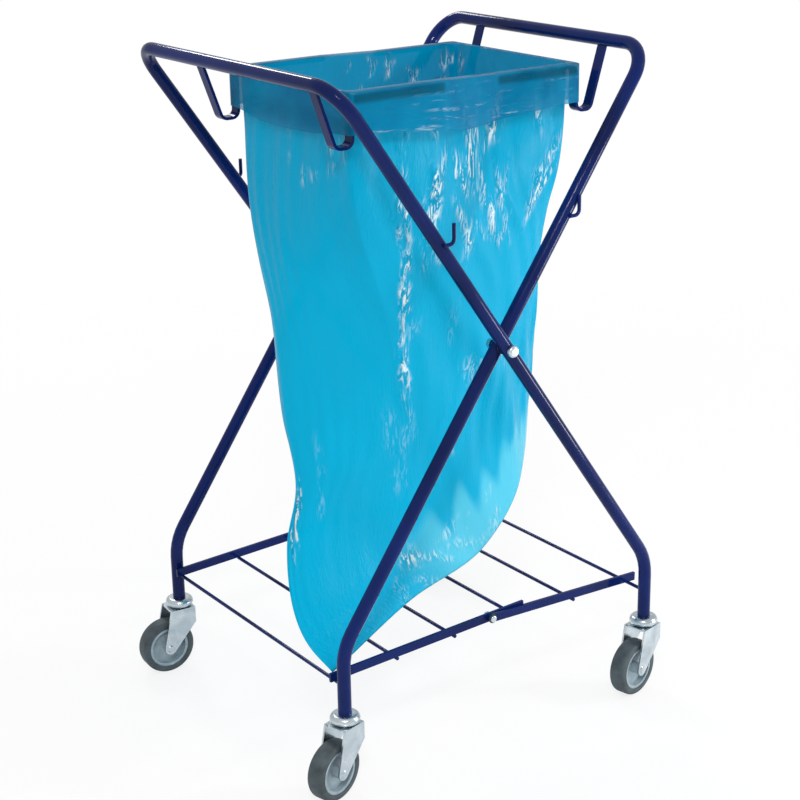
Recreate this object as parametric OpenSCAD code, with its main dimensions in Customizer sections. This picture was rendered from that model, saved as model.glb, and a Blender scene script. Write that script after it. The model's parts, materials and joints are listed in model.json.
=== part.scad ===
// Folding linen trolley: two bent-tube frames crossed on pivot bolts, a hinged wire rack that
// props them open, four swivel castors, and a polythene bag hung on four bent strip arms.
// Millimetres, Z up, X between the two handles, Y along the handles, origin on the floor.

/* [Frames] */
// Height over the handle bars
overall_h = 925; // [800:1:1100]
// Distance between the handle bars, and between the feet, on centres
handle_span = 500; // [460:1:600]
// Width of the outer frame, on leg centres
outer_w = 482; // [460:1:600]
// Tube diameter
tube_d = 18; // [16:0.5:22]
// Tube wall
tube_wall = 1.5; // [1:0.1:2.5]
// Radius of the handle corners, on the tube's centre line
corner_r = 45; // [35:1:70]
// Height of the knee where a leg turns upright
knee_z = 201; // [190:1:240]
// Radius of the knee, on the tube's centre line
knee_r = 80; // [50:1:110]
// Gap between the legs at the crossing, filled by the spacer
leg_gap = 3; // [2:0.5:6]

/* [Pivots] */
// Diameter of the crossing bolts
bolt_d = 8; // [6:0.5:10]
// Diameter of the bolts in the middle of the rack
rack_bolt_d = 6; // [5:0.5:8]
// Running clearance on a radius
run_gap = 0.05; // [0.02:0.01:0.1]
// Clearance between faces that turn past each other
face_gap = 0.3; // [0.2:0.05:0.5]

/* [Rack] */
// Height of the end rods, on centres
rack_z = 150; // [140:1:165]
// Upward tilt of each half when open
rack_tilt = 2.2; // [1.5:0.1:3.5]
// Height of the rack strips
strip_h = 12; // [10:0.5:16]
// Thickness of the rack strips
strip_t = 4; // [3:0.5:5]
// Rod diameter
rod_d = 5; // [4:0.5:6]
// Distance between rods on the left half
left_pitch = 95; // [80:1:105]
// Distance between rods on the right half
right_pitch = 105; // [90:1:110]
// Length of the left strips beyond the middle bolt
tail_len = 58; // [45:1:70]

/* [Bag arms] */
// Width of the arm strip
arm_w = 15; // [12:0.5:18]
// Thickness of the arm strip
arm_t = 4; // [3:0.5:5]
// Distance between the two arms of a frame, on centres
arm_spacing = 264; // [230:1:280]
// Clearance between the outer frame's near arm and the bend of its handle
bend_gap = 0.5; // [0.5:0.5:12]
// Depth of the outer frame's hooks below the handle, on centres
hook_outer = 79; // [72:1:85]
// Depth of the inner frame's hooks below the handle, on centres
hook_inner = 89; // [82:1:95]
// Depth of the outer frame's arms below the handle, on centres
drop_outer = 18; // [17:1:22]
// Depth of the inner frame's arms below the handle, on centres
drop_inner = 30; // [24:1:34]
// Reach of the arm inwards from the handle
arm_reach = 190; // [170:1:200]
// Distance from the handle to the rising part of the hook
arm_rise_x = 52; // [48:1:58]

/* [Leg hooks] */
// Height of the hooks on the legs
hook_z = 714; // [640:1:760]
// Rod diameter of the hooks
hook_d = 5; // [4:0.5:7]
// Height of the hook's upright
hook_up = 26; // [18:1:36]

/* [Castors] */
// Height from the floor to the end of the leg
castor_h = 112; // [106:1:125]
// Wheel diameter
wheel_d = 80; // [70:1:84]
// Tyre width
wheel_w = 24; // [20:1:26]
// Distance from the swivel line to the axle
trail = 25; // [18:1:32]
// Width over the fork
fork_w = 36; // [33:1:40]
// Sheet thickness of the fork
fork_t = 2.5; // [2:0.1:3]
// Axle diameter
axle_d = 7; // [6:0.5:8]
// Diameter of the raceway cup
cup_d = 40; // [34:1:44]
// Height of the raceway cup
cup_h = 13; // [10:0.5:16]
// Way each wheel trails, in degrees from +X: inner near, inner far, outer near, outer far
trail_angles = [195, 175, 192, 185];

/* [Bag] */
// Thickness of the film as a solid
film_t = 1.2; // [0.8:0.1:2]
// Depth of the turned-down cuff
cuff_h = 51; // [40:1:52]
// Clearance between the film and the arms
film_gap = 0.4; // [0.3:0.1:1]
// Height of the upper corner of the bag's bottom seam
seam_z = 313; // [280:1:360]
// Height of the waist of the bag's left edge
waist_z = 400; // [380:1:450]
// Height of the belly of the bag's left edge, where the slack film bulges
belly_z = 262; // [240:1:300]
// How far the belly stands out past the feet
belly_out = 12; // [0:1:20]
// Sag of the bottom seam below the line between its corners
seam_sag = 40; // [10:1:45]

/* [Hidden] */
$fn = 48;

navy = "#1d2a63";
zinc = "#c3cdd2";
rubber = "#3d4a50";
grey = "#8a969b";
nylon = "#20242a";
cyan = "#00a9d4";

// Frame lines
foot_span = handle_span;
handle_z = overall_h - tube_d / 2;
inner_w = outer_w - 2 * (tube_d + leg_gap);
lean = atan2((handle_span + foot_span) / 2, handle_z - knee_z);
pivot_z = handle_z - (handle_span / 2) / tan(lean);
leg_len = (handle_z - knee_z) / cos(lean);
knee_run = knee_r * tan(lean / 2);

// Rack lines: each half turns about its end rod, and the middle bolt meets at x = 0
strip_rise = (strip_h + rod_d) / 2;
half_len = (foot_span / 2 + strip_rise * sin(rack_tilt)) / cos(rack_tilt);
mid_z = rack_z + half_len * sin(rack_tilt) + strip_rise * cos(rack_tilt);
left_y = inner_w / 2 - tube_d / 2 - rack_bolt_d - strip_t / 2;
right_y = left_y + strip_t + 2 * face_gap;
end_over = 10;

// Castor lines
wheel_r = wheel_d / 2;
cup_z = castor_h - cup_h;
crown_z = cup_z - face_gap;
rim_d = wheel_d - 20;
fork_gap = fork_w - 2 * fork_t;
bore_d = tube_d - 2 * tube_wall;

// Arm lines: the outer frame's arms are shifted to its near bend, so that they pass the inner ones; underside of the film over each frame's arms
arm_shift = outer_w / 2 - corner_r - arm_w / 2 - bend_gap - arm_spacing / 2;
rim_outer = handle_z - drop_outer + arm_t / 2 + film_gap;
rim_inner = handle_z - drop_inner + arm_t / 2 + film_gap;

// Points of an arc about c, radius r, from angle a0 to a1
function arc(c, r, a0, a1, n) = [for (i = [0:n]) let (a = a0 + (a1 - a0) * i / n) c + r * [cos(a), sin(a)]];

// Centre line through corner points, each inner corner rounded to radius r
function unit(v) = v / norm(v);
function rounded(p, r, n = 6) = [
    p[0],
    for (i = [1:len(p) - 2])
        let (
            u = unit(p[i - 1] - p[i]),
            v = unit(p[i + 1] - p[i]),
            half = acos(u * v) / 2,
            c = p[i] + unit(u + v) * r / sin(half),
            a = p[i] + u * r / tan(half) - c,
            b = p[i] + v * r / tan(half) - c,
            a0 = atan2(a[1], a[0]),
            turn = atan2(a[0] * b[1] - a[1] * b[0], a * b)
        )
        each arc(c, r, a0, a0 + turn, n),
    p[len(p) - 1]
];

// Outline of a strip of thickness t along a centre line
function side(p, d) = [
    for (i = [0:len(p) - 1])
        let (
            a = p[max(i - 1, 0)],
            b = p[min(i + 1, len(p) - 1)],
            u = unit(b - a)
        )
        p[i] + d * [-u[1], u[0]]
];
function reversed(p) = [for (i = [len(p) - 1:-1:0]) p[i]];
function strip_outline(p, t) = concat(side(p, t / 2), reversed(side(p, -t / 2)));

module tube_section() {
    difference() {
        circle(d = tube_d);
        circle(d = bore_d);
    }
}

// One leg, its handle corner and its foot; near is -1, far is 1
module leg(w, near) {
    y = near * w / 2;
    translate([foot_span / 2 - knee_run * sin(lean), y, knee_z + knee_run * cos(lean)])
        rotate([0, -lean, 0])
            linear_extrude(leg_len - knee_run - corner_r)
                tube_section();
    translate([foot_span / 2 - knee_r, y, knee_z - knee_run])
        rotate([90, 0, 0])
            rotate_extrude(angle = lean)
                translate([knee_r, 0])
                    tube_section();
    translate([foot_span / 2, y, castor_h])
        linear_extrude(knee_z - knee_run - castor_h)
            tube_section();
    translate([-handle_span / 2, 0, handle_z])
        rotate([0, -lean, 0])
            translate([0, near * (w / 2 - corner_r), -corner_r])
                rotate([90, 0, 90])
                    rotate([0, 0, near < 0 ? 90 : 0])
                        rotate_extrude(angle = 90)
                            translate([corner_r, 0])
                                tube_section();
}

// A frame with its handle at -X and its feet at +X
module frame_tube(w) {
    union() {
        translate([-handle_span / 2, -(w / 2 - corner_r), handle_z])
            rotate([-90, 0, 0])
                linear_extrude(w - 2 * corner_r)
                    tube_section();
        leg(w, -1);
        leg(w, 1);
    }
}

module pivot_bore(d) {
    translate([0, 0, pivot_z])
        rotate([90, 0, 0])
            cylinder(d = d, h = 2 * outer_w, center = true);
}

module frame_outer_tube() {
    color(navy)
        difference() {
            frame_tube(outer_w);
            pivot_bore(bolt_d + 2 * run_gap);
        }
}

module frame_inner_tube() {
    color(navy)
        difference() {
            mirror([1, 0, 0]) frame_tube(inner_w);
            pivot_bore(bolt_d + 2 * run_gap);
            translate([-foot_span / 2, 0, rack_z])
                rotate([90, 0, 0])
                    cylinder(d = rod_d + 2 * run_gap, h = inner_w, center = true);
        }
}

// Bag arm: strip from under the handle, round a hook and inwards along the mouth of the bag
module bag_arm(y, hook, drop) {
    line = rounded([[0, 0], [arm_rise_x - 24, -hook], [arm_rise_x, -hook], [arm_rise_x, -drop],
        [arm_reach - arm_w / 2, -drop]], 10);
    difference() {
        translate([-handle_span / 2, y, handle_z])
            union() {
                rotate([90, 0, 0])
                    translate([0, 0, -arm_w / 2])
                        linear_extrude(arm_w)
                            polygon(strip_outline(line, arm_t));
                translate([arm_reach - arm_w / 2, 0, -drop - arm_t / 2])
                    cylinder(d = arm_w, h = arm_t);
            }
        translate([-handle_span / 2, 0, handle_z])
            rotate([90, 0, 0])
                cylinder(d = tube_d, h = outer_w, center = true);
    }
}

module arm_outer_near() { color(navy) bag_arm(-arm_spacing / 2 - arm_shift, hook_outer, drop_outer); }
module arm_outer_far() { color(navy) bag_arm(arm_spacing / 2 - arm_shift, hook_outer, drop_outer); }
module arm_inner_near() { color(navy) mirror([1, 0, 0]) bag_arm(-arm_spacing / 2, hook_inner, drop_inner); }
module arm_inner_far() { color(navy) mirror([1, 0, 0]) bag_arm(arm_spacing / 2, hook_inner, drop_inner); }

// Rod hook on the outside of a leg, turned up at its free end
module leg_hook(x, y) {
    hook_r = hook_d * 1.4;
    reach = tube_d / 2;
    translate([x, y, hook_z])
        union() {
            rotate([0, 90, 0]) cylinder(d = hook_d, h = reach);
            translate([reach, 0, hook_r])
                rotate([90, 0, 0])
                    rotate([0, 0, -90])
                        rotate_extrude(angle = 90)
                            translate([hook_r, 0])
                                circle(d = hook_d);
            translate([reach + hook_r, 0, hook_r]) cylinder(d = hook_d, h = hook_up - hook_r);
        }
}

module leg_hooks(x, w) {
    out_y = w / 2 + (tube_d + hook_d) / 2;
    leg_hook(x, -out_y);
    leg_hook(x, out_y);
}

module hooks_outer() { color(navy) leg_hooks(-(hook_z - pivot_z) * tan(lean), outer_w); }
module hooks_inner() { color(navy) leg_hooks((hook_z - pivot_z) * tan(lean), inner_w); }

// Crossing pivots: y values are for the far side, and a mirror makes the near one
outer_face = outer_w / 2 + tube_d / 2;
inner_face = inner_w / 2 - tube_d / 2;
head_h = bolt_d * 0.7;
nut_h = bolt_d * 0.8;

module both_sides() {
    children();
    mirror([0, 1, 0]) children();
}

module at_pivot(y) {
    translate([0, y, pivot_z])
        rotate([-90, 0, 0])
            children();
}

// Domed head with a rounded shoulder
module bolt_head(d, h) {
    rotate_extrude()
        polygon(concat([[0, 0], [d / 2, 0]], arc([d / 2 - h * 0.6, h * 0.4], h * 0.6, 0, 90, 6), [[0, h]]));
}

module pivot_bolts() {
    color(zinc)
        both_sides() {
            at_pivot(inner_face - nut_h - bolt_d / 4)
                cylinder(d = bolt_d, h = outer_face + face_gap - inner_face + nut_h + bolt_d / 4);
            at_pivot(outer_face + face_gap) bolt_head(bolt_d * 2, head_h);
        }
}

module pivot_spacers() {
    color(nylon)
        both_sides()
            at_pivot(inner_w / 2 + tube_d / 2)
                difference() {
                    cylinder(d = bolt_d * 2, h = leg_gap - face_gap);
                    translate([0, 0, -1]) cylinder(d = bolt_d + 2 * run_gap, h = leg_gap + 2);
                }
}

module pivot_nuts() {
    color(zinc)
        both_sides()
            at_pivot(inner_face - nut_h)
                difference() {
                    cylinder(d = bolt_d * 1.85, h = nut_h, $fn = 6);
                    translate([0, 0, -1]) cylinder(d = bolt_d, h = nut_h + 2);
                }
}

// Places a rack half: origin on its end rod, x towards the middle
module left_half() {
    translate([-foot_span / 2, 0, rack_z])
        rotate([0, -rack_tilt, 0])
            children();
}

module right_half() {
    translate([foot_span / 2, 0, rack_z])
        mirror([1, 0, 0])
            rotate([0, -rack_tilt, 0])
                children();
}

module rack_strip(y, past, round_end) {
    translate([0, y, strip_rise])
        rotate([90, 0, 0])
            difference() {
                translate([0, 0, -strip_t / 2])
                    linear_extrude(strip_t)
                        union() {
                            translate([-end_over, -strip_h / 2])
                                square([end_over + half_len + past, strip_h]);
                            if (round_end) translate([half_len, 0]) circle(d = strip_h);
                        }
                translate([half_len, 0, 0])
                    cylinder(d = rack_bolt_d + 2 * run_gap, h = 2 * strip_t, center = true);
            }
}

module rack_rod(x, z, reach) {
    translate([x, 0, z])
        rotate([90, 0, 0])
            cylinder(d = rod_d, h = 2 * reach, center = true);
}

module rack_left_strips() {
    color(navy)
        left_half() {
            rack_strip(-left_y, tail_len, false);
            rack_strip(left_y, tail_len, false);
        }
}

module rack_left_rods() {
    color(navy)
        left_half() {
            rack_rod(0, 0, inner_w / 2 - rod_d / 2);
            for (i = [1:2]) rack_rod(i * left_pitch, 0, left_y + strip_t / 2);
        }
}

module rack_right_strips() {
    color(navy)
        right_half() {
            rack_strip(-right_y, 0, true);
            rack_strip(right_y, 0, true);
        }
}

// The last rod of the right half stops the tails of the left strips, so it sits a little higher
stop_back = half_len - 2 * right_pitch;
stop_lift = stop_back * sin(2 * rack_tilt) - face_gap;

module rack_right_rods() {
    color(navy)
        right_half() {
            rack_rod(0, 0, outer_w / 2 - tube_d / 2 - face_gap);
            rack_rod(right_pitch, 0, right_y + strip_t / 2);
            rack_rod(2 * right_pitch, stop_lift, right_y - strip_t / 2);
        }
}

module at_mid(y) {
    translate([0, y, mid_z])
        rotate([-90, 0, 0])
            children();
}

rack_in = left_y - strip_t / 2;
rack_out = right_y + strip_t / 2;
washer_t = 1.5;
rack_nut_h = rack_bolt_d * 0.8;

module rack_bolts() {
    color(zinc)
        both_sides() {
            at_mid(rack_in - rack_nut_h)
                cylinder(d = rack_bolt_d, h = rack_out + washer_t - rack_in + rack_nut_h);
            at_mid(rack_out + washer_t) bolt_head(rack_bolt_d * 1.6, rack_bolt_d * 0.5);
        }
}

module rack_washers() {
    color(nylon)
        both_sides()
            at_mid(rack_out + face_gap)
                difference() {
                    cylinder(d = strip_h + 1, h = washer_t - face_gap);
                    translate([0, 0, -1]) cylinder(d = rack_bolt_d, h = washer_t + 2);
                }
}

module rack_nuts() {
    color(zinc)
        both_sides()
            at_mid(rack_in - rack_nut_h)
                difference() {
                    cylinder(d = rack_bolt_d * 1.85, h = rack_nut_h, $fn = 6);
                    translate([0, 0, -1]) cylinder(d = rack_bolt_d, h = rack_nut_h + 2);
                }
}

// Castors: index 0 and 1 are the near and far feet of the inner frame, 2 and 3 of the outer one
feet = [
    [-foot_span / 2, -inner_w / 2],
    [-foot_span / 2, inner_w / 2],
    [foot_span / 2, -outer_w / 2],
    [foot_span / 2, outer_w / 2]
];

module at_foot(i) {
    translate([feet[i][0], feet[i][1], 0])
        rotate([0, 0, trail_angles[i]])
            children();
}

module at_axle(i) {
    at_foot(i)
        translate([trail, 0, wheel_r])
            rotate([90, 0, 0])
                children();
}

king_d = 10;
plug_len = 28;

// Raceway cup with its bulged rim, and the king pin that the fork turns on
module castor_cup(i) {
    bulge = cup_h / 2;
    color(zinc)
        at_foot(i) {
            translate([0, 0, cup_z])
                rotate_extrude()
                    union() {
                        square([cup_d / 2 - bulge, cup_h]);
                        intersection() {
                            translate([cup_d / 2 - bulge, bulge]) circle(r = bulge);
                            square([cup_d, cup_h]);
                        }
                    }
            translate([0, 0, castor_h]) cylinder(d = king_d, h = plug_len);
            translate([0, 0, crown_z - fork_t - 3.5]) cylinder(d = king_d, h = cup_z - crown_z + fork_t + 3.5);
            translate([0, 0, crown_z - fork_t - face_gap - 3]) cylinder(d = king_d + 6, h = 3);
        }
}

// Ribbed sleeve that grips the king pin in the leg
module castor_plug(i) {
    color(nylon)
        at_foot(i)
            translate([0, 0, castor_h])
                difference() {
                    cylinder(d = bore_d - face_gap, h = plug_len);
                    translate([0, 0, -1]) cylinder(d = king_d, h = plug_len + 2);
                }
}

// Side of the fork: wide under the crown, tapering to a round end at the axle
crown_r = 19;
eye_r = 9;
fork_front = -crown_r + 2;
fork_back = crown_r + 2;
brow_h = 24;
function touch(p, c, r, s) =
    let (
        d = norm(c - p),
        a = atan2(c[1] - p[1], c[0] - p[0]) + s * asin(r / d)
    )
    p + sqrt(d * d - r * r) * [cos(a), sin(a)];

module fork_cheek() {
    eye = [trail, wheel_r];
    brow = [fork_front, crown_z - brow_h];
    heel = [fork_back, crown_z];
    translate(eye) circle(r = eye_r);
    polygon([[fork_front, crown_z], brow, touch(brow, eye, eye_r, -1), eye, touch(heel, eye, eye_r, 1), heel]);
}

module castor_fork(i) {
    color(zinc)
        at_foot(i)
            difference() {
                union() {
                    for (s = [-1, 1])
                        translate([0, s * (fork_w - fork_t) / 2 + fork_t / 2, 0])
                            rotate([90, 0, 0])
                                linear_extrude(fork_t)
                                    fork_cheek();
                    translate([0, 0, crown_z - fork_t])
                        linear_extrude(fork_t)
                            intersection() {
                                translate([fork_front, -fork_w / 2]) square([fork_back - fork_front, fork_w]);
                                circle(r = crown_r + 5);
                            }
                }
                translate([0, 0, crown_z - fork_t - 1]) cylinder(d = king_d + 2 * run_gap, h = fork_t + 2);
                translate([trail, 0, wheel_r])
                    rotate([90, 0, 0])
                        cylinder(d = axle_d, h = 2 * fork_w, center = true);
            }
}

// Riveted axle with a flat head each side
module castor_axle(i) {
    head = 1.6;
    color(zinc)
        at_axle(i)
            union() {
                cylinder(d = axle_d, h = fork_w, center = true);
                for (s = [0, 1])
                    mirror([0, 0, s])
                        translate([0, 0, fork_w / 2])
                            cylinder(d1 = axle_d + 4, d2 = axle_d + 1, h = head);
            }
}

// Moulded wheel centre: hub, dished web and rim
module castor_wheel(i) {
    hub_d = axle_d + 9;
    web_t = 5;
    wall = 4;
    color(grey)
        at_axle(i)
            rotate_extrude()
                union() {
                    translate([axle_d / 2 + run_gap, -fork_gap / 2 + face_gap])
                        square([(hub_d - axle_d) / 2 - run_gap, fork_gap - 2 * face_gap]);
                    translate([axle_d / 2 + run_gap, -web_t / 2])
                        square([rim_d / 2 - axle_d / 2 - run_gap, web_t]);
                    translate([rim_d / 2 - wall, -wheel_w / 2 + 1])
                        square([wall, wheel_w - 2]);
                }
}

// Rubber tyre with rounded shoulders
module castor_tyre(i) {
    shoulder = 5;
    color(rubber)
        at_axle(i)
            rotate_extrude()
                polygon(concat(
                    [[rim_d / 2, -wheel_w / 2]],
                    arc([wheel_r - shoulder, -wheel_w / 2 + shoulder], shoulder, -90, 0, 6),
                    arc([wheel_r - shoulder, wheel_w / 2 - shoulder], shoulder, 0, 90, 6),
                    [[rim_d / 2, wheel_w / 2]]
                ));
}

// Bag: one film turned over the arms at the mouth and drawn in to a slanting bottom seam.
// A row of rings runs from the hem of the cuff, over the mouth and down to the seam.
arm_in = handle_span / 2 - arm_rise_x;
wall_clear = arm_w / 2 + film_gap + film_t;
cuff_clear = arm_w / 2 + film_gap;
left_near = -arm_spacing / 2 - arm_shift;
tip_low = [-foot_span / 2 + rod_d, -left_y + strip_h, rack_z + rod_d / 2 + 5.5];
tip_high = [arm_in + 3, -outer_w / 15, seam_z];
bag_waist = [-foot_span / 2 + rod_d * 5, -outer_w / 6.2, waist_z];
bag_belly = [-foot_span / 2 - belly_out, -outer_w / 4.1, belly_z];
left_far = arm_spacing / 2 - arm_shift;
right_near = -arm_spacing / 2;
right_far = arm_spacing / 2;
arm_tip = handle_span / 2 - arm_reach;
film_x = arm_t / 2 + film_gap;

// Corners of the mouth from the far left, as an offset outline of the four arms: d is outwards along Y,
// e outwards along X and lift above the film's underside
function mouth(d, e, lift) = [
    [-arm_in - e, left_far + d, rim_outer + lift],
    [-arm_in - e, left_near - d, rim_outer + lift],
    [-arm_tip, left_near - d, rim_outer + lift],
    [arm_tip, right_near - d, rim_inner + lift],
    [arm_in + e, right_near - d, rim_inner + lift],
    [arm_in + e, right_far + d, rim_inner + lift],
    [arm_tip, right_far + d, rim_inner + lift],
    [-arm_tip, left_far + d, rim_outer + lift]
];

// Equal steps along each side, a quarter of the ring to each of its four sides
side_n = 12;
function steps(a, b, n) = [for (k = [0:n - 1]) a + (b - a) * k / n];
function ring(p) = concat(
    steps(p[0], p[1], side_n),
    steps(p[1], p[2], side_n / 3),
    steps(p[2], p[3], side_n / 3),
    steps(p[3], p[4], side_n / 3),
    steps(p[4], p[5], side_n),
    steps(p[5], p[6], side_n / 3),
    steps(p[6], p[7], side_n / 3),
    steps(p[7], p[0], side_n / 3)
);
ring_n = 4 * side_n;

// Point on a line of [share, point] stops
function on_line(p, t, i = 0) =
    i > len(p) - 3 || t <= p[i + 1][0]
        ? p[i][1] + (p[i + 1][1] - p[i][1]) * (t - p[i][0]) / (p[i + 1][0] - p[i][0])
        : on_line(p, t, i + 1);

// Hanging film at share t of its drop: an oval between a left and a right edge, whose depth towards the
// near corner dies out at the seam
seam_half = 7;
function hang(m, t, i) =
    let (
        left_line = [[0, m[0]], [0.64, bag_waist], [0.85, bag_belly], [1, tip_low]],
        left = on_line(left_line, t),
        right = m[4] + (tip_high - m[4]) * t,
        half = (right - left) / 2,
        depth = [m[1][0] - m[5][0], m[1][1] - m[5][1], 0] / 2,
        thick = depth * pow(1 - t, 1.2) + unit([half[1], -half[0], 0]) * seam_half * t,
        round = min(1, 0.2 + t),
        blunt = 1 - 0.5 * pow(t, 4),
        corner = [-half, thick, half, -thick],
        a = 360 * i / ring_n,
        q = floor(i / side_n),
        f = i / side_n - q,
        oval = thick * sign(sin(a)) * pow(abs(sin(a)), blunt) - half * cos(a),
        flat = corner[q] * (1 - f) + corner[(q + 1) % 4] * f
    )
    (left + right) / 2 + oval * round + flat * (1 - round) - [0, 0, seam_sag * pow(t, 3) * pow(sin(a), 2)];

// Near the mouth the film keeps the outline of the arms, and eases out of it below the cuff
down_n = 12;
function wall_rings(d, e) =
    let (
        m = mouth(d, e, 0),
        top = ring(m)
    )
    [
        for (k = [0:down_n])
            let (
                t = k / down_n,
                part = max(0, min(1, (t - 0.12) / 0.4)),
                ease = 1 - part * part * (3 - 2 * part)
            )
            [
                for (i = [0:ring_n - 1])
                    let (
                        free = hang(m, t, i),
                        held = [top[i][0], top[i][1], free[2] + top[i][2] - hang(m, 0, i)[2]]
                    )
                    free * (1 - ease) + held * ease
            ]
    ];

function lowered(p, h) = [for (q = p) q - [0, 0, h]];

// Inner side of the rings below the mouth: each point moved by h against the outward normal, and the last
// ring lifted by h as well, so that the seam is as thick as the wall
function inset(rows, h) = [
    for (r = [1:len(rows) - 1])
        [
            for (i = [0:ring_n - 1])
                let (
                    along = rows[r][(i + 1) % ring_n] - rows[r][(i + ring_n - 1) % ring_n],
                    down = rows[min(r + 1, len(rows) - 1)][i] - rows[r - 1][i]
                )
                rows[r][i] - unit(cross(down, along)) * h + [0, 0, r == len(rows) - 1 ? h : 0]
        ]
];

module bag() {
    wall = wall_rings(film_t - wall_clear, -film_x);
    skin_rings = concat(
        [lowered(ring(mouth(cuff_clear, film_x, 0)), cuff_h)],
        [ring(mouth(cuff_clear, film_x, 0))],
        wall
    );
    lining_rings = concat(
        [lowered(ring(mouth(cuff_clear + film_t, film_x + film_t, 0)), cuff_h)],
        [ring(mouth(cuff_clear + film_t, film_x + film_t, film_t))],
        [ring(mouth(-wall_clear, -film_x - film_t, film_t))],
        inset(wall, film_t)
    );
    n = ring_n;
    m = len(skin_rings);
    base = n * m;
    points = concat([for (r = skin_rings) each r], [for (r = lining_rings) each r]);
    function quad(a, b, c, d) = [[a, b, c], [a, c, d]];
    skin = [
        for (r = [0:m - 2], i = [0:n - 1])
            let (j = (i + 1) % n)
            each quad(r * n + i, r * n + j, (r + 1) * n + j, (r + 1) * n + i)
    ];
    lining = [
        for (r = [0:m - 2], i = [0:n - 1])
            let (j = (i + 1) % n)
            each quad(base + r * n + i, base + (r + 1) * n + i, base + (r + 1) * n + j, base + r * n + j)
    ];
    hem = [for (i = [0:n - 1]) let (j = (i + 1) % n) each quad(i, base + i, base + j, j)];
    // the last ring is closed from its near half to its far half
    last = (m - 1) * n;
    floor_out = [
        for (i = [0:n / 2 - 1])
            each quad(last + i, last + i + 1, last + (n - i - 1) % n, last + (n - i) % n)
    ];
    floor_in = [for (f = floor_out) [for (k = [2, 1, 0]) f[k] + base]];
    faces = concat(skin, lining, hem, floor_out, floor_in);
    color(cyan) polyhedron(points, [for (f = faces) if (f[0] != f[1] && f[1] != f[2] && f[0] != f[2]) f]);
}

frame_outer_tube();
frame_inner_tube();
arm_outer_near();
arm_outer_far();
arm_inner_near();
arm_inner_far();
hooks_outer();
hooks_inner();
pivot_bolts();
pivot_spacers();
pivot_nuts();
rack_left_strips();
rack_left_rods();
rack_right_strips();
rack_right_rods();
rack_bolts();
rack_washers();
rack_nuts();
castor_cup(0);  // castor_cup_in
castor_cup(1);  // castor_cup_if
castor_cup(2);  // castor_cup_on
castor_cup(3);  // castor_cup_of
castor_plug(0);  // castor_plug_in
castor_plug(1);  // castor_plug_if
castor_plug(2);  // castor_plug_on
castor_plug(3);  // castor_plug_of
castor_fork(0);  // castor_fork_in
castor_fork(1);  // castor_fork_if
castor_fork(2);  // castor_fork_on
castor_fork(3);  // castor_fork_of
castor_axle(0);  // castor_axle_in
castor_axle(1);  // castor_axle_if
castor_axle(2);  // castor_axle_on
castor_axle(3);  // castor_axle_of
castor_wheel(0);  // castor_wheel_in
castor_wheel(1);  // castor_wheel_if
castor_wheel(2);  // castor_wheel_on
castor_wheel(3);  // castor_wheel_of
castor_tyre(0);  // castor_tyre_in
castor_tyre(1);  // castor_tyre_if
castor_tyre(2);  // castor_tyre_on
castor_tyre(3);  // castor_tyre_of
bag();
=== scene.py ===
import json
import math
import bpy
import numpy as np
from mathutils import Matrix


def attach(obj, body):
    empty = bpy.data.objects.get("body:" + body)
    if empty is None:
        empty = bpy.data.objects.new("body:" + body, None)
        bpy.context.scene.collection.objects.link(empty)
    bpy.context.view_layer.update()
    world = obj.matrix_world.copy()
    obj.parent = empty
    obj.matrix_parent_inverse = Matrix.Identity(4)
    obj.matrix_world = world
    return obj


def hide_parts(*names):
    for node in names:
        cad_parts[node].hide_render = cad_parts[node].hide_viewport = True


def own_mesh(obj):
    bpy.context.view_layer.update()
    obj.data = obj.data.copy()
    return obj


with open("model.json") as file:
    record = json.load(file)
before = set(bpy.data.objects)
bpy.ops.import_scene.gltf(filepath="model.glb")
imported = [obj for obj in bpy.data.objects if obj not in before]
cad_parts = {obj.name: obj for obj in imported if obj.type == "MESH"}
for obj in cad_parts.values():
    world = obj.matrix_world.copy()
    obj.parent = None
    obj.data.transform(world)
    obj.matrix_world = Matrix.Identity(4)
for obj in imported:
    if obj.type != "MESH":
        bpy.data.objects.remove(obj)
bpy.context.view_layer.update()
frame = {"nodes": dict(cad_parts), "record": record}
nodes = frame["nodes"]
scene = bpy.context.scene
print("frame loaded:", len(nodes), "nodes")

# camera fitted to the straight lines of the two frames: metres and degrees, with lens and sensor in millimetres
shot = {
    "azimuth": -35.13, "elevation": 19.10, "roll": -1.03, "distance": 2.5267,
    "target": (0.0004, 0.0, 0.4249), "lens": 81.1, "sensor": 36, "clipEnd": 60,
}


def addObject(name, data):
    obj = bpy.data.objects.new(name, data)
    scene.collection.objects.link(obj)
    return obj


def looking(right, up, back, place):
    # the matrix of a camera or lamp, from its three axes and its place
    return Matrix([[right[i], up[i], back[i], place[i]] for i in range(3)] + [[0, 0, 0, 1]])


def makeCamera():
    # back points from the target to the camera; right and up are turned by the roll
    a, e, k = (math.radians(shot[n]) for n in ("azimuth", "elevation", "roll"))
    back = np.array([math.sin(a) * math.cos(e), -math.cos(a) * math.cos(e), math.sin(e)])
    level = np.cross(-back, [0, 0, 1])
    level /= np.linalg.norm(level)
    rise = np.cross(level, -back)
    right = math.cos(k) * level + math.sin(k) * rise
    up = math.cos(k) * rise - math.sin(k) * level
    data = bpy.data.cameras.new("studioCamera")
    data.lens, data.sensor_width, data.clip_end = shot["lens"], shot["sensor"], shot["clipEnd"]
    obj = addObject("studioCamera", data)
    obj.matrix_world = looking(right, up, back, np.array(shot["target"]) + back * shot["distance"])
    scene.camera = obj


makeCamera()
print("camera set")


def hexColour(text):
    # sRGB hex to linear, with alpha 1
    c = np.array([int(text[i:i + 2], 16) for i in (0, 2, 4)]) / 255
    return tuple(np.where(c <= 0.04045, c / 12.92, ((c + 0.055) / 1.055) ** 2.4)) + (1.0,)


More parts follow.
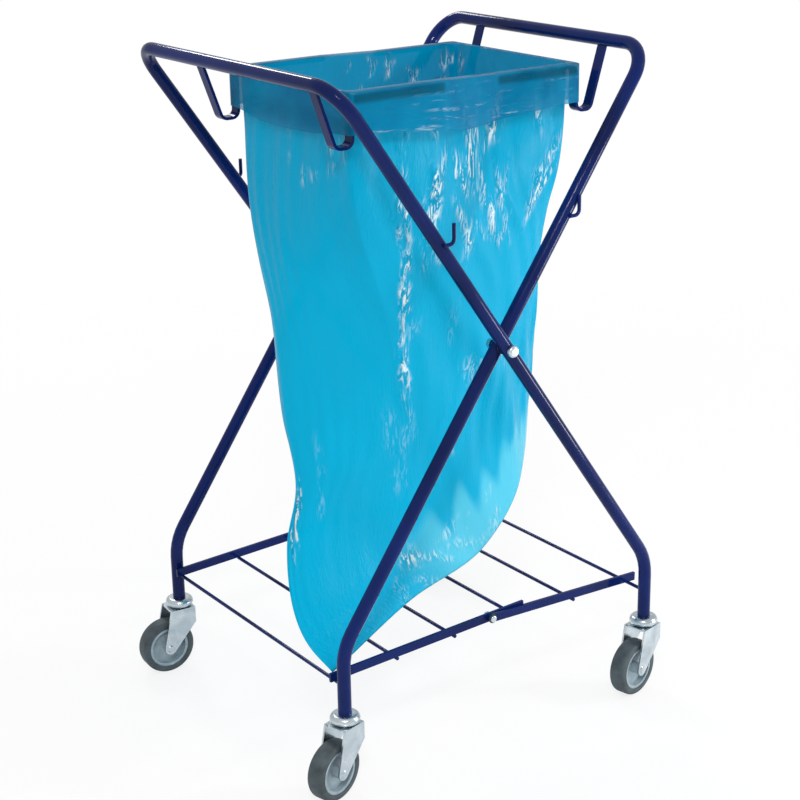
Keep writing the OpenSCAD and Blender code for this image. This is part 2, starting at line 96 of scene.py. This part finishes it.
def addNode(tree, kind, settings=None, links=None, values=None):
    # one node: settings are attributes, links feed inputs from sockets, values are constants on inputs
    n = tree.nodes.new(kind)
    for k, v in (settings or {}).items():
        setattr(n, k, v)
    for k, v in (values or {}).items():
        n.inputs[k].default_value = v
    for k, v in (links or {}).items():
        tree.links.new(v, n.inputs[k])
    return n


def startMaterial(name):
    m = bpy.data.materials.new(name)
    m.use_nodes = True
    tree = m.node_tree
    tree.nodes.clear()
    shader = addNode(tree, "ShaderNodeBsdfPrincipled")
    out = addNode(tree, "ShaderNodeOutputMaterial", links={"Surface": shader.outputs[0]})
    coords = addNode(tree, "ShaderNodeTexCoord").outputs["Object"]
    return m, tree, shader, coords, out


def ramp(tree, factor, stops):
    # colour ramp with (place, hex) stops
    r = addNode(tree, "ShaderNodeValToRGB", links={"Fac": factor})
    e = r.color_ramp.elements
    while len(e) < len(stops):
        e.new(0.5)
    for item, (place, text) in zip(e, stops):
        item.position = place
        item.color = hexColour(text)
    return r.outputs["Color"]


def noise(tree, coords, mm, detail, more=None):
    # noise with features about this many millimetres across
    values = {"Scale": 1000 / mm, "Detail": detail, **(more or {})}
    return addNode(tree, "ShaderNodeTexNoise", links={"Vector": coords}, values=values).outputs["Fac"]


def spread(tree, value, result, span=(0, 1), kind="LINEAR"):
    # the value's span, from low to high, becomes the result's low to high
    ends = {"From Min": span[0], "From Max": span[1], "To Min": result[0], "To Max": result[1]}
    return addNode(tree, "ShaderNodeMapRange", {"interpolation_type": kind}, {"Value": value}, ends).outputs[0]


def arithmetic(tree, operation, links, values=None, clamp=False):
    return addNode(tree, "ShaderNodeMath", {"operation": operation, "use_clamp": clamp}, links, values).outputs[0]


def mixed(tree, share, plain, text):
    # the plain colour where the share is 0, the hex colour where it is 1
    links, values = {0: share, 6: plain}, {7: hexColour(text)}
    return addNode(tree, "ShaderNodeMix", {"data_type": "RGBA"}, links, values).outputs[2]


def setInputs(tree, shader, links, values):
    for k, v in links.items():
        tree.links.new(v, shader.inputs[k])
    for k, v in values.items():
        shader.inputs[k].default_value = v


def bumped(tree, height, strength, depth):
    values = {"Strength": strength, "Distance": depth}
    return addNode(tree, "ShaderNodeBump", links={"Height": height}, values=values).outputs[0]


# the hard finishes by slot; sizes in millimetres, grain depth in metres
finishes = {
    # powder coat on steel tube: baked polyester, so a deep navy with a hard gloss and a faint orange peel
    "navy_paint": {
        "name": "powderCoatNavyBaked", "dark": "0a1642", "light": "102566", "toneMm": 140, "toneDetail": 3,
        "toneSpan": (0.3, 0.75), "rubMm": 35, "rubDetail": 5, "rubSpan": (0.3, 0.75), "rough": (0.06, 0.12),
        "grainMm": 2.2, "grainDetail": 1, "lift": 0.06, "depth": 0.0004, "specular": 0.14,
    },
    # zinc plate on pressed steel: bright and slightly blue, with soft roll marks
    "zinc": {
        "name": "zincPlatePressedSteel", "dark": "b2bec6", "light": "d4dde1", "toneMm": 26, "toneDetail": 4,
        "toneSpan": (0.32, 0.68), "swirl": 0.6, "rough": (0.2, 0.32),
        "grainMm": 1.2, "grainDetail": 2, "lift": 0.1, "depth": 0.0003, "metal": 1.0,
    },
    # moulded pieces: a mottled tone, a fine mould texture and dust that dulls the gloss
    "rubber": {
        "name": "rubberMouldedGrey", "dark": "2d373c", "light": "4a585e", "toneMm": 18, "toneDetail": 5,
        "toneSpan": (0.3, 0.72), "rough": (0.5, 0.72), "grainMm": 1.0, "grainDetail": 3, "lift": 0.18, "depth": 0.0004,
    },
    "wheel_grey": {
        "name": "polypropyleneMouldedGrey", "dark": "80929b", "light": "a2b2ba", "toneMm": 14, "toneDetail": 5,
        "toneSpan": (0.3, 0.72), "rough": (0.34, 0.5), "grainMm": 0.8, "grainDetail": 3, "lift": 0.1, "depth": 0.0004,
    },
    "black_nylon": {
        "name": "nylonMouldedBlack", "dark": "14161a", "light": "23262b", "toneMm": 10, "toneDetail": 5,
        "toneSpan": (0.3, 0.72), "rough": (0.4, 0.6), "grainMm": 0.8, "grainDetail": 3, "lift": 0.12, "depth": 0.0004,
    },
}


def hardFinish(look):
    # the tone is a noise, the gloss follows it or a finer noise of rubbing, and a shallow grain is the bump
    m, t, s, co, _ = startMaterial(look["name"])
    tone = noise(t, co, look["toneMm"], look["toneDetail"], {"Distortion": look.get("swirl", 0.0)})
    rub = noise(t, co, look["rubMm"], look["rubDetail"]) if "rubMm" in look else tone
    grain = noise(t, co, look["grainMm"], look["grainDetail"])
    links = {
        "Base Color": ramp(t, tone, list(zip(look["toneSpan"], (look["dark"], look["light"])))),
        "Roughness": spread(t, rub, look["rough"], look.get("rubSpan", (0, 1))),
        "Normal": bumped(t, grain, look["lift"], look["depth"]),
    }
    setInputs(t, s, links, {"Specular IOR Level": look.get("specular", 0.5), "Metallic": look.get("metal", 0.0)})
    return m


# Low-density polythene, blown film: deep clear cyan, a soft gloss, and white creases that are painted glints, in part
# stress-whitened film. One free ply at the cuff lets the arms show through, a painted shade of the arms darkens the
# cuff, and the welded seam at the bottom looks paler
film = {
    "cuff": "006f9c", "upper": "0097c0", "lower": "00a9d3", "toneSpan": (0.08, 0.2, 0.55),
    "blotMm": 95, "blotDetail": 5, "blotSwirl": 0.8, "blotShare": 0.2,
    "seam": "55c6e2", "creaseAndGlint": "e2f6fb", "armShadeColour": "004a63",
    "creaseMm": 8, "creaseDetail": 6, "creaseRough": 0.58, "creaseSwirl": 1.7, "creaseSpan": (0.47, 0.6),
    "rough": (0.14, 0.24), "roughSpan": (0.3, 0.7), "plainLift": 0.22, "lift": 0.7, "depth": 0.006,
    "specular": 0.05, "ior": 1.5,
}
# the crinkles run down the wall and round the cuff, so their pattern is squeezed along that way
filmPlies = {
    "wall": {"name": "polytheneBlownFilmCyan", "alpha": 0.95, "grain": (1.0, 1.0, 0.22)},
    "cuff": {"name": "polytheneBlownFilmCuff", "alpha": 0.8, "grain": (0.25, 0.25, 1.3)},
}


def blownFilm(ply):
    m, t, s, co, _ = startMaterial(ply["name"])
    drop, creaseAndGlint, weld, paintedArmShade = (
        addNode(t, "ShaderNodeAttribute", {"attribute_name": n}).outputs["Fac"] for n in ("drop", "creaseAndGlint", "weld", "paintedArmShade")
    )
    blot = noise(t, co, film["blotMm"], film["blotDetail"], {"Distortion": film["blotSwirl"]})
    shift = arithmetic(t, "MULTIPLY_ADD", {0: blot, 2: drop}, {1: film["blotShare"]})
    colour = ramp(t, shift, list(zip(film["toneSpan"], (film["cuff"], film["upper"], film["lower"]))))
    along = addNode(t, "ShaderNodeMapping", links={"Vector": co}, values={"Scale": ply["grain"]}).outputs[0]
    broken = {"Roughness": film["creaseRough"], "Distortion": film["creaseSwirl"]}
    fine = noise(t, along, film["creaseMm"], film["creaseDetail"], broken)
    streak = spread(t, fine, (0, 1), film["creaseSpan"], "SMOOTHSTEP")
    # painted white glints: the crease mark times the fine streaks
    white = arithmetic(t, "MULTIPLY", {0: creaseAndGlint, 1: streak}, clamp=True)
    # the weld is paler, the creases carry painted white glints, and a painted shade of the arm darkens the film where
    # it lies on an arm
    for share, text in ((weld, film["seam"]), (white, film["creaseAndGlint"]), (paintedArmShade, film["armShadeColour"])):
        colour = mixed(t, share, colour, text)
    ridge = arithmetic(t, "MULTIPLY_ADD", {0: creaseAndGlint}, {1: 1.0, 2: film["plainLift"]})
    height = arithmetic(t, "MULTIPLY", {0: fine, 1: ridge})
    links = {
        "Base Color": colour,
        "Roughness": spread(t, blot, film["rough"], film["roughSpan"]),
        "Normal": bumped(t, height, film["lift"], film["depth"]),
    }
    setInputs(t, s, links, {"Specular IOR Level": film["specular"], "Alpha": ply["alpha"], "IOR": film["ior"]})
    return m


finishOf = {slot: hardFinish(look) for slot, look in finishes.items()}
finishOf["film"] = blownFilm(filmPlies["wall"])
cuffFilm = blownFilm(filmPlies["cuff"])
for item in frame["record"]["subparts"]:
    mesh = nodes[item["node"]].data
    mesh.materials.clear()
    mesh.materials.append(finishOf[item["material_slot"]])
print("finishes on the frame")

# the bag, in millimetres until the mesh is made; u is the share round the film, from its left edge past the near
# corner (0.25) to its right edge (0.5) and back round the far side, and v is the share down it
bagShape = {
    # points round and rows down
    "around": 440, "down": 190,
    # the arm lines repeat the part's own sizes
    "armX": 198.0, "tipX": 60.0, "leftNear": -188.0, "leftFar": 76.0, "rightNear": -132.0, "rightFar": 132.0,
    "leftTop": 901.0, "rightTop": 889.0,
    # how far the film stands outside and inside those lines, along the arms and at their outer ends
    "out": 9.6, "endOut": 4.6, "inside": 8.5, "endInside": 3.0, "cornerRounds": 4,
    # the left side edge below the mouth: nearly straight, a waist, a slack belly, the tail
    "leftEdge": [
        (-195, 50, 745), (-204, 0, 598), (-220, -44, 462), (-227, -81, 375),
        (-254, -99, 305), (-262, -157, 186), (-249, -191, 158),
    ],
    # the right side edge, nearly straight
    "rightEdge": [(185, -86, 658), (195, -55, 474), (202, -32, 328)],
    # the bottom seam, from the tail to the foot of the right edge, and half its thickness
    "seamEdge": [(-249, -191, 158), (-90, -138, 196), (60, -107, 224), (145, -74, 272), (202, -32, 328)],
    "seamHalf": 6.0,
    # powers of v that thin the bag and bend it to the seam, and how oval the ring is at the mouth
    "thinPower": 1.2, "seamPower": 3, "mouthOval": 0.2,
    # the stretch of v over which the arms let go of the film's outline
    "heldFrom": 0.06, "heldOver": 0.4,
    # the tone at the mouth, which is a little below the cuff's
    "toneTop": 0.12,
}
cuffShape = {
    "rows": 30, "depth": 50.0, "dip": 14.0, "dipWave": 0.2, "flare": 2.5, "flareWave": 1.2,
    # level pleats: how high, how many radians from hem to top, how far they wander
    "pleat": 0.9, "pleatTurn": 9, "pleatWave": 1.6,
    # the half circle over the arms, in degrees, and its rise
    "over": (25, 50, 75, 105, 130, 155, 180), "overRise": 1.8,
    # painted white glints lie on the cuff's creases where their waves are near this value
    "creaseShare": 0.5, "creaseAt": 0.9, "creaseWide": 0.16, "creaseFrom": 0.25, "creaseDown": 4,
    # the painted shade of the arm seen through the cuff: strength, middle and half height below the top, soft end
    "armShadeStrength": 0.8, "armBelow": 7, "armHalf": 6, "armSoft": 5,
}
foldShape = {
    # heights of the slow waves, the fine waves and the crinkle ridges
    "slow": 2.4, "fine": 1.1, "ridgeMost": 1.2,
    # folds sway along u, by a share and in radians of v
    "slowSway": 0.03, "slowTurn": 5, "fineSway": 0.02, "fineTurn": 9,
    # the panel right of the near corner and the back fold more than the rest
    "least": 0.35, "panel": 0.65, "panelAt": 0.38, "panelWide": 0.11, "back": 0.5, "backFrom": 0.55,
    # shares of v at the mouth and at the seam where the folds die out
    "mouthCalm": 0.1, "seamCalm": 0.2,
    # near the mouth the crinkles stand further round, until the drop takes them back
    "creaseShift": 0.045, "shiftFrom": 0.2, "shiftOver": 0.45,
}
# the welded band is paler along the sloping part of the seam, and its upper rim wanders
weldShape = {"pale": 0.9, "from": 0.87, "over": 0.05, "wander": 0.025, "half": 0.31, "soft": 0.08}
# sums of sines: seed, how many, turns round the film, most turns down it
waveKinds = {
    "hemDip": {"seed": 3, "count": 5, "round": (1, 9), "down": 1},
    "hemFlare": {"seed": 5, "count": 6, "round": (3, 14), "down": 0.5},
    "pleats": {"seed": 8, "count": 4, "round": (1, 5), "down": 0.5},
    "cuffCreases": {"seed": 31, "count": 7, "round": (1, 6), "down": 1.6},
    "slowFolds": {"seed": 11, "count": 9, "round": (3, 15), "down": 0.8},
    "fineFolds": {"seed": 12, "count": 12, "round": (14, 46), "down": 2.0},
    "weldRim": {"seed": 41, "count": 6, "round": (4, 30), "down": 3.0},
}
# crinkles in groups, low ridges that also carry painted white glints: how many, where in u and v, how long in v, how
# wide in u, slant, lean, strength, seed
crinklesAndGlints = {
    "nearCorner": {
        "count": 60, "u": (0.246, 0.258), "v": (0.08, 0.6), "long": (0.006, 0.02), "wide": (0.0015, 0.003),
        "slant": 0.08, "lean": 0, "strong": (0.2, 0.9), "seed": 4,
    },
    "rightPanel": {
        "count": 38, "u": (0.28, 0.45), "v": (0.08, 0.36), "long": (0.02, 0.075), "wide": (0.002, 0.0055),
        "slant": 0.22, "lean": 0, "strong": (0.3, 1.0), "seed": 7,
    },
    "rightEdge": {
        "count": 12, "u": (0.478, 0.505), "v": (0.07, 0.42), "long": (0.03, 0.07), "wide": (0.002, 0.005),
        "slant": 0.05, "lean": 0, "strong": (0.4, 0.9), "seed": 9,
    },
    "underLeftCuff": {
        "count": 10, "u": (0.02, 0.22), "v": (0.07, 0.16), "long": (0.008, 0.02), "wide": (0.002, 0.006),
        "slant": 0.2, "lean": 0, "strong": (0.2, 0.6), "seed": 15,
    },
    "waist": {
        "count": 14, "u": (0.045, 0.065), "v": (0.69, 0.77), "long": (0.015, 0.04), "wide": (0.002, 0.004),
        "slant": 0.12, "lean": 0.4, "strong": (0.5, 1.0), "seed": 17,
    },
    "lowerFront": {
        "count": 16, "u": (0.1, 0.4), "v": (0.45, 0.8), "long": (0.015, 0.05), "wide": (0.003, 0.01),
        "slant": 0.1, "lean": 0, "strong": (0.1, 0.3), "seed": 19,
    },
    "back": {
        "count": 26, "u": (0.52, 0.98), "v": (0.08, 0.5), "long": (0.02, 0.07), "wide": (0.002, 0.006),
        "slant": 0.15, "lean": 0, "strong": (0.2, 0.8), "seed": 23,
    },
    "seam": {
        "count": 22, "u": (0.19, 0.33), "v": (0.92, 0.99), "long": (0.008, 0.02), "wide": (0.003, 0.009),
        "slant": 0.6, "lean": 0, "strong": (0.15, 0.55), "seed": 29,
    },
    "insideMouth": {
        "count": 26, "u": (0.68, 0.84), "v": (0.015, 0.11), "long": (0.006, 0.022), "wide": (0.0015, 0.004),
        "slant": 0.35, "lean": 0, "strong": (0.5, 1.0), "seed": 37,
    },
}


def lengthAlong(p):
    return np.r_[0, np.cumsum(np.linalg.norm(np.diff(p, axis=0), axis=1))]


def alongLine(points, share):
    # even steps along a polyline, by length, at the given shares from 0 to 1
    p = np.asarray(points, float)
    run = lengthAlong(p)
    return np.stack([np.interp(share * run[-1], run, axis) for axis in p.T], -1)


def smoothLoop(p, times):
    # average of each point with its two neighbours round the ring, several times
    for _ in range(times):
        p = 0.5 * p + 0.25 * (np.roll(p, 1, 0) + np.roll(p, -1, 0))
    return p


def curveThrough(points, steps=400):
    # a cubic between each two points, whose slopes there come from the points on either side
    p = np.asarray(points, float)
    run = lengthAlong(p)
    slope = np.gradient(p, run, axis=0)
    at = np.linspace(0, run[-1], steps)
    i = np.clip(np.searchsorted(run, at) - 1, 0, len(p) - 2)
    gap = (run[i + 1] - run[i])[:, None]
    t = (at - run[i])[:, None] / gap
    ends = (1 + 2 * t) * (1 - t) ** 2 * p[i] + (3 - 2 * t) * t ** 2 * p[i + 1]
    return ends + gap * (t * (1 - t) ** 2 * slope[i] - (1 - t) * t ** 2 * slope[i + 1])


def smoothStep(x):
    x = np.clip(x, 0, 1)
    return x * x * (3 - 2 * x)


def waves(u, v, kind):
    # sum of sines round and down the film with fixed pseudo-random turns
    w = waveKinds[kind]
    r = np.random.default_rng(w["seed"])
    total = np.zeros(np.broadcast(u, v).shape)
    for _ in range(w["count"]):
        turnsU, turnsV, start = r.integers(*w["round"]), r.uniform(-w["down"], w["down"]), r.uniform(0, 6.28)
        total += np.sin(2 * np.pi * (turnsU * u + turnsV * v) + start) / math.sqrt(w["count"])
    return total


def crinkleAndGlintField(u, v):
    # sum of thin streaks: a bell across, a flat-topped bell along, leaning by the slant
    total = np.zeros(np.broadcast(u, v).shape)
    for g in crinklesAndGlints.values():
        r = np.random.default_rng(g["seed"])
        for _ in range(g["count"]):
            cu, cv, long, wide, strong = (r.uniform(*g[k]) for k in ("u", "v", "long", "wide", "strong"))
            lean = g["lean"] + r.uniform(-g["slant"], g["slant"])
            total += strong * np.exp(-((u - cu - lean * (v - cv)) / wide) ** 2 - ((v - cv) / long) ** 4)
    return total


def sharesRound():
    return np.arange(bagShape["around"]) / bagShape["around"]


def mouthRing(out, endOut):
    # far left corner, near left, near right, far right; a quarter of the points on each side
    b = bagShape
    q = np.arange(b["around"] // 4) / (b["around"] // 4)
    x, tip = b["armX"] + endOut, b["tipX"]
    ln, lf, rn, rf = b["leftNear"] - out, b["leftFar"] + out, b["rightNear"] - out, b["rightFar"] + out
    sides = (
        [(-x, lf), (-x, ln)], [(-x, ln), (-tip, ln), (tip, rn), (x, rn)],
        [(x, rn), (x, rf)], [(x, rf), (tip, rf), (-tip, lf), (-x, lf)],
    )
    return smoothLoop(np.concatenate([alongLine(s, q) for s in sides]), b["cornerRounds"])


def mouthHeight():
    # level along each frame's arms, sloping between their tips
    b = bagShape
    return np.interp(mouthRing(0, 0)[:, 0], [-b["tipX"], b["tipX"]], [b["leftTop"], b["rightTop"]])


def cuffSurface():
    # rows run from the hem (k 0) up the outside of the arms (k 1), then in a half circle over them to the inside
    b, c = bagShape, cuffShape
    u, top = sharesRound(), mouthHeight()
    k = np.linspace(0, 1, c["rows"])[:, None]
    # between the hooks at the four corners the hem hangs lower and flares, and the ply has level pleats
    between = np.sin(4 * np.pi * u) ** 2
    dip = c["dip"] * between * (1 - c["dipWave"] + c["dipWave"] * waves(u, 0, "hemDip"))
    pleat = c["pleat"] * np.sin(c["pleatTurn"] * k + c["pleatWave"] * waves(u, 0, "pleats"))
    push = (1 - k) * between * (c["flare"] + c["flareWave"] * waves(u, 0, "hemFlare") + pleat)
    ring = mouthRing(b["out"], b["endOut"])
    side = ring - mouthRing(0, 0)
    side /= np.linalg.norm(side, axis=1, keepdims=True)
    height = top - (1 - k) * (c["depth"] + dip)
    rows = [np.concatenate([ring + side * push[..., None], height[..., None]], -1)]
    for a in np.radians(c["over"]):
        w = 0.5 + 0.5 * math.cos(a)
        inner = mouthRing(b["out"] * w - b["inside"] * (1 - w), b["endOut"] * w - b["endInside"] * (1 - w))
        rows.append(np.c_[inner, top + c["overRise"] * math.sin(a)][None])
    grid = np.concatenate(rows)
    k = np.r_[k, np.ones((len(c["over"]), 1))]
    # on the cuff the creases are only painted white glints, with no ridge in the surface
    ripple = waves(u, c["creaseDown"] * k, "cuffCreases")
    creaseAndGlint = c["creaseShare"] * np.exp(-((ripple - c["creaseAt"]) / c["creaseWide"]) ** 2) * (1 - k) * (u > c["creaseFrom"])
    # a painted shade of the arm: a dark band just under the top of the cuff along each arm
    x, below = np.abs(grid[..., 0]), top - grid[..., 2]
    paintedArmShade = c["armShadeStrength"] * smoothStep((x - b["tipX"]) / c["armSoft"]) * (x < b["armX"])
    paintedArmShade *= np.exp(-((below - c["armBelow"]) / c["armHalf"]) ** 4)
    return grid, {"drop": 0 * k * u, "creaseAndGlint": creaseAndGlint, "weld": 0 * k * u, "paintedArmShade": paintedArmShade}


def hangingRings(u, v):
    # a ring at share v is an oval between the left and right edges, whose depth towards the near corner dies out
    # at the seam; close to the mouth it keeps the outline of the arms
    b = bagShape
    top = np.c_[mouthRing(-b["inside"], -b["endInside"]), mouthHeight()]
    corner = top[::b["around"] // 4]
    left = alongLine(curveThrough([corner[0]] + b["leftEdge"]), v)
    right = alongLine(curveThrough([corner[2]] + b["rightEdge"]), v)
    half = (right - left)[:, None] / 2
    s = v[:, None, None]
    level = np.stack([half[..., 1], -half[..., 0], 0 * half[..., 0]], -1)
    level /= np.linalg.norm(level, axis=2, keepdims=True)
    depth = (corner[1] - corner[3]) * [0.5, 0.5, 0]
    thick = depth * (1 - s) ** b["thinPower"] + level * b["seamHalf"] * s
    turn = 2 * np.pi * u[:, None]
    oval = thick * np.sin(turn) - half * np.cos(turn)
    # the same ring with straight sides, which the oval takes over from
    quarter, f = np.divmod(4 * u, 1)
    q, f = quarter.astype(int), f[:, None]
    ends = np.concatenate([-half, thick, half, -thick], 1)
    straight = ends[:, q] * (1 - f) + ends[:, (q + 1) % 4] * f
    rounded = np.minimum(1, b["mouthOval"] + s)
    free = (left + right)[:, None] / 2 + oval * rounded + straight * (1 - rounded)
    # the bottom curves like the seam, less and less towards the mouth
    share = 0.5 - 0.5 * np.cos(2 * np.pi * u)
    curve = curveThrough(b["seamEdge"])
    chord = curve[-1] - curve[0]
    along = (curve - curve[0]) @ chord / (chord @ chord)
    onSeam = np.stack([np.interp(share, along, axis) for axis in curve.T], -1)
    onChord = left[-1] + (right[-1] - left[-1]) * share[:, None]
    free += (onSeam - onChord) * s ** b["seamPower"]
    held = np.broadcast_to(top, free.shape).copy()
    held[..., 2] = free[..., 2] + top[:, 2] - free[0, :, 2]
    ease = 1 - smoothStep((s - b["heldFrom"]) / b["heldOver"])
    return free * (1 - ease) + held * ease


def wallSurface():
    # folds are pushed along the surface's own normal: slow waves, fine waves, then the crinkles as low ridges
    f, w = foldShape, weldShape
    u, v = sharesRound(), np.linspace(0, 1, bagShape["down"])
    grid = hangingRings(u, v)
    normal = np.cross(np.gradient(grid, axis=0), np.roll(grid, -1, 1) - np.roll(grid, 1, 1))
    normal /= np.maximum(np.linalg.norm(normal, axis=2, keepdims=True), 1e-6)
    v = v[:, None]
    # the crease mark is both the low ridges below and the painted white glints in the film's colour
    creaseAndGlint = crinkleAndGlintField(u - f["creaseShift"] * (1 - smoothStep((v - f["shiftFrom"]) / f["shiftOver"])), v)
    slow = f["slow"] * waves(u + f["slowSway"] * np.sin(f["slowTurn"] * v), v, "slowFolds")
    fine = f["fine"] * waves(u + f["fineSway"] * np.sin(f["fineTurn"] * v), v, "fineFolds")
    panel = f["panel"] * np.exp(-((u - f["panelAt"]) / f["panelWide"]) ** 2)
    share = f["least"] + panel + f["back"] * (u > f["backFrom"])
    calm = smoothStep(v / f["mouthCalm"]) * smoothStep((1 - v) / f["seamCalm"])
    fold = ((slow + fine) * share + np.minimum(creaseAndGlint, f["ridgeMost"])) * calm
    rim = w["from"] + w["wander"] * waves(u, v, "weldRim")
    weld = w["pale"] * smoothStep((v - rim) / w["over"]) * smoothStep((w["half"] - np.abs(u - 0.5)) / w["soft"])
    drop = bagShape["toneTop"] + (1 - bagShape["toneTop"]) * v + 0 * u
    return grid + normal * fold[..., None], {"drop": drop, "creaseAndGlint": creaseAndGlint, "weld": weld, "paintedArmShade": 0 * v * u}


def filmMesh(name, surface, material, joined):
    # rows by columns, closed round the columns; at the seam front and back are joined two by two
    grid, marks = surface
    rows, cols = grid.shape[:2]
    r, c = np.meshgrid(np.arange(rows - 1), np.arange(cols), indexing="ij")
    d = (c + 1) % cols
    faces = np.stack([r * cols + c, (r + 1) * cols + c, (r + 1) * cols + d, r * cols + d], -1).reshape(-1, 4)
    if joined:
        k = np.arange(1, cols // 2 - 1)
        seam = np.stack([k, cols - k, cols - k - 1, k + 1], -1) + (rows - 1) * cols
        faces = np.concatenate([faces, seam])
    else:
        faces = faces[:, ::-1]
    mesh = bpy.data.meshes.new(name)
    mesh.from_pydata((grid.reshape(-1, 3) / 1000).tolist(), [], faces.tolist())
    mesh.validate()
    for key, values in marks.items():
        mark = mesh.attributes.new(key, "FLOAT", "POINT")
        mark.data.foreach_set("value", np.ascontiguousarray(values, np.float32).ravel())
    mesh.polygons.foreach_set("use_smooth", np.ones(len(mesh.polygons), bool))
    mesh.materials.append(material)
    obj = addObject(name, mesh)
    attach(obj, "inner_frame")
    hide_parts("bag")
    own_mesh(obj)
    areas = np.empty(len(mesh.polygons), np.float32)
    mesh.polygons.foreach_get("area", areas)
    print(name, "area in square metres:", round(float(areas.sum()), 4))
    return obj


bagFilm = filmMesh("bagFilm", wallSurface(), finishOf["film"], True)
bagCuff = filmMesh("bagCuff", cuffSurface(), cuffFilm, False)
print("bag made")

# pale floor and soft studio light in metres and watts; camera and transmission rays see a plain white world
studio = {
    "floor": "f6f6f6", "floorRough": 0.9, "floorHalf": 12.0, "world": 0.7,
    "white": 0.8, "shadowReach": 0.6, "whiteReach": 2.6,
}
lamps = {
    "keyLamp": {"place": (-1.6, -2.2, 2.6), "aim": (0, 0, 0.5), "size": 0.4, "power": 34},
    "fillLamp": {"place": (2.4, -1.6, 1.8), "aim": (0, 0, 0.5), "size": 0.3, "power": 22},
    "lowLamp": {"place": (1.3, -1.15, 0.25), "aim": (0, 0, 0.6), "size": 0.35, "power": 7},
    "rimLamp": {"place": (0.4, 2.4, 2.4), "aim": (0, 0, 0.6), "size": 0.5, "power": 16},
}


def makeFloor():
    h = studio["floorHalf"]
    mesh = bpy.data.meshes.new("paleFloor")
    mesh.from_pydata([(-h, -h, 0), (h, -h, 0), (h, h, 0), (-h, h, 0)], [], [(0, 1, 2, 3)])
    addObject("paleFloor", mesh)
    m, t, s, co, out = startMaterial("paleStudioFloor")
    setInputs(t, s, {}, {"Base Color": hexColour(studio["floor"]), "Roughness": studio["floorRough"]})
    # part of what the camera sees of the floor is plain white, all of it far out, and the rest keeps the shadow
    away = addNode(t, "ShaderNodeVectorMath", {"operation": "LENGTH"}, {0: co}).outputs["Value"]
    far = spread(t, away, (studio["white"], 1.0), (studio["shadowReach"], studio["whiteReach"]), "SMOOTHSTEP")
    seen = addNode(t, "ShaderNodeLightPath").outputs["Is Camera Ray"]
    share = arithmetic(t, "MULTIPLY", {0: seen, 1: far})
    glow = addNode(t, "ShaderNodeEmission", values={"Color": (1, 1, 1, 1), "Strength": 1.0})
    both = addNode(t, "ShaderNodeMixShader", links={0: share, 1: s.outputs[0], 2: glow.outputs[0]})
    t.links.new(both.outputs[0], out.inputs[0])
    mesh.materials.append(m)


def makeWorld():
    world = bpy.data.worlds.new("studioWorld")
    scene.world = world
    world.use_nodes = True
    w = world.node_tree
    w.nodes.clear()
    path = addNode(w, "ShaderNodeLightPath").outputs
    seen = arithmetic(w, "MAXIMUM", {0: path["Is Camera Ray"], 1: path["Is Transmission Ray"]})
    strength = spread(w, seen, (studio["world"], 1.0))
    back = addNode(w, "ShaderNodeBackground", links={"Strength": strength}, values={"Color": (1, 1, 1, 1)})
    addNode(w, "ShaderNodeOutputWorld", links={"Surface": back.outputs[0]})


def softLamp(name, lamp):
    data = bpy.data.lights.new(name, "AREA")
    data.energy, data.size = lamp["power"], lamp["size"]
    obj = addObject(name, data)
    back = np.array(lamp["place"], float) - np.array(lamp["aim"], float)
    back /= np.linalg.norm(back)
    right = np.cross([0, 0, 1], back)
    right /= np.linalg.norm(right)
    obj.matrix_world = looking(right, np.cross(back, right), back, lamp["place"])
    obj.visible_camera = False


makeFloor()
makeWorld()
for name, lamp in lamps.items():
    softLamp(name, lamp)
scene.view_settings.view_transform = "Standard"
print("stage lit")

bpy.context.view_layer.update()
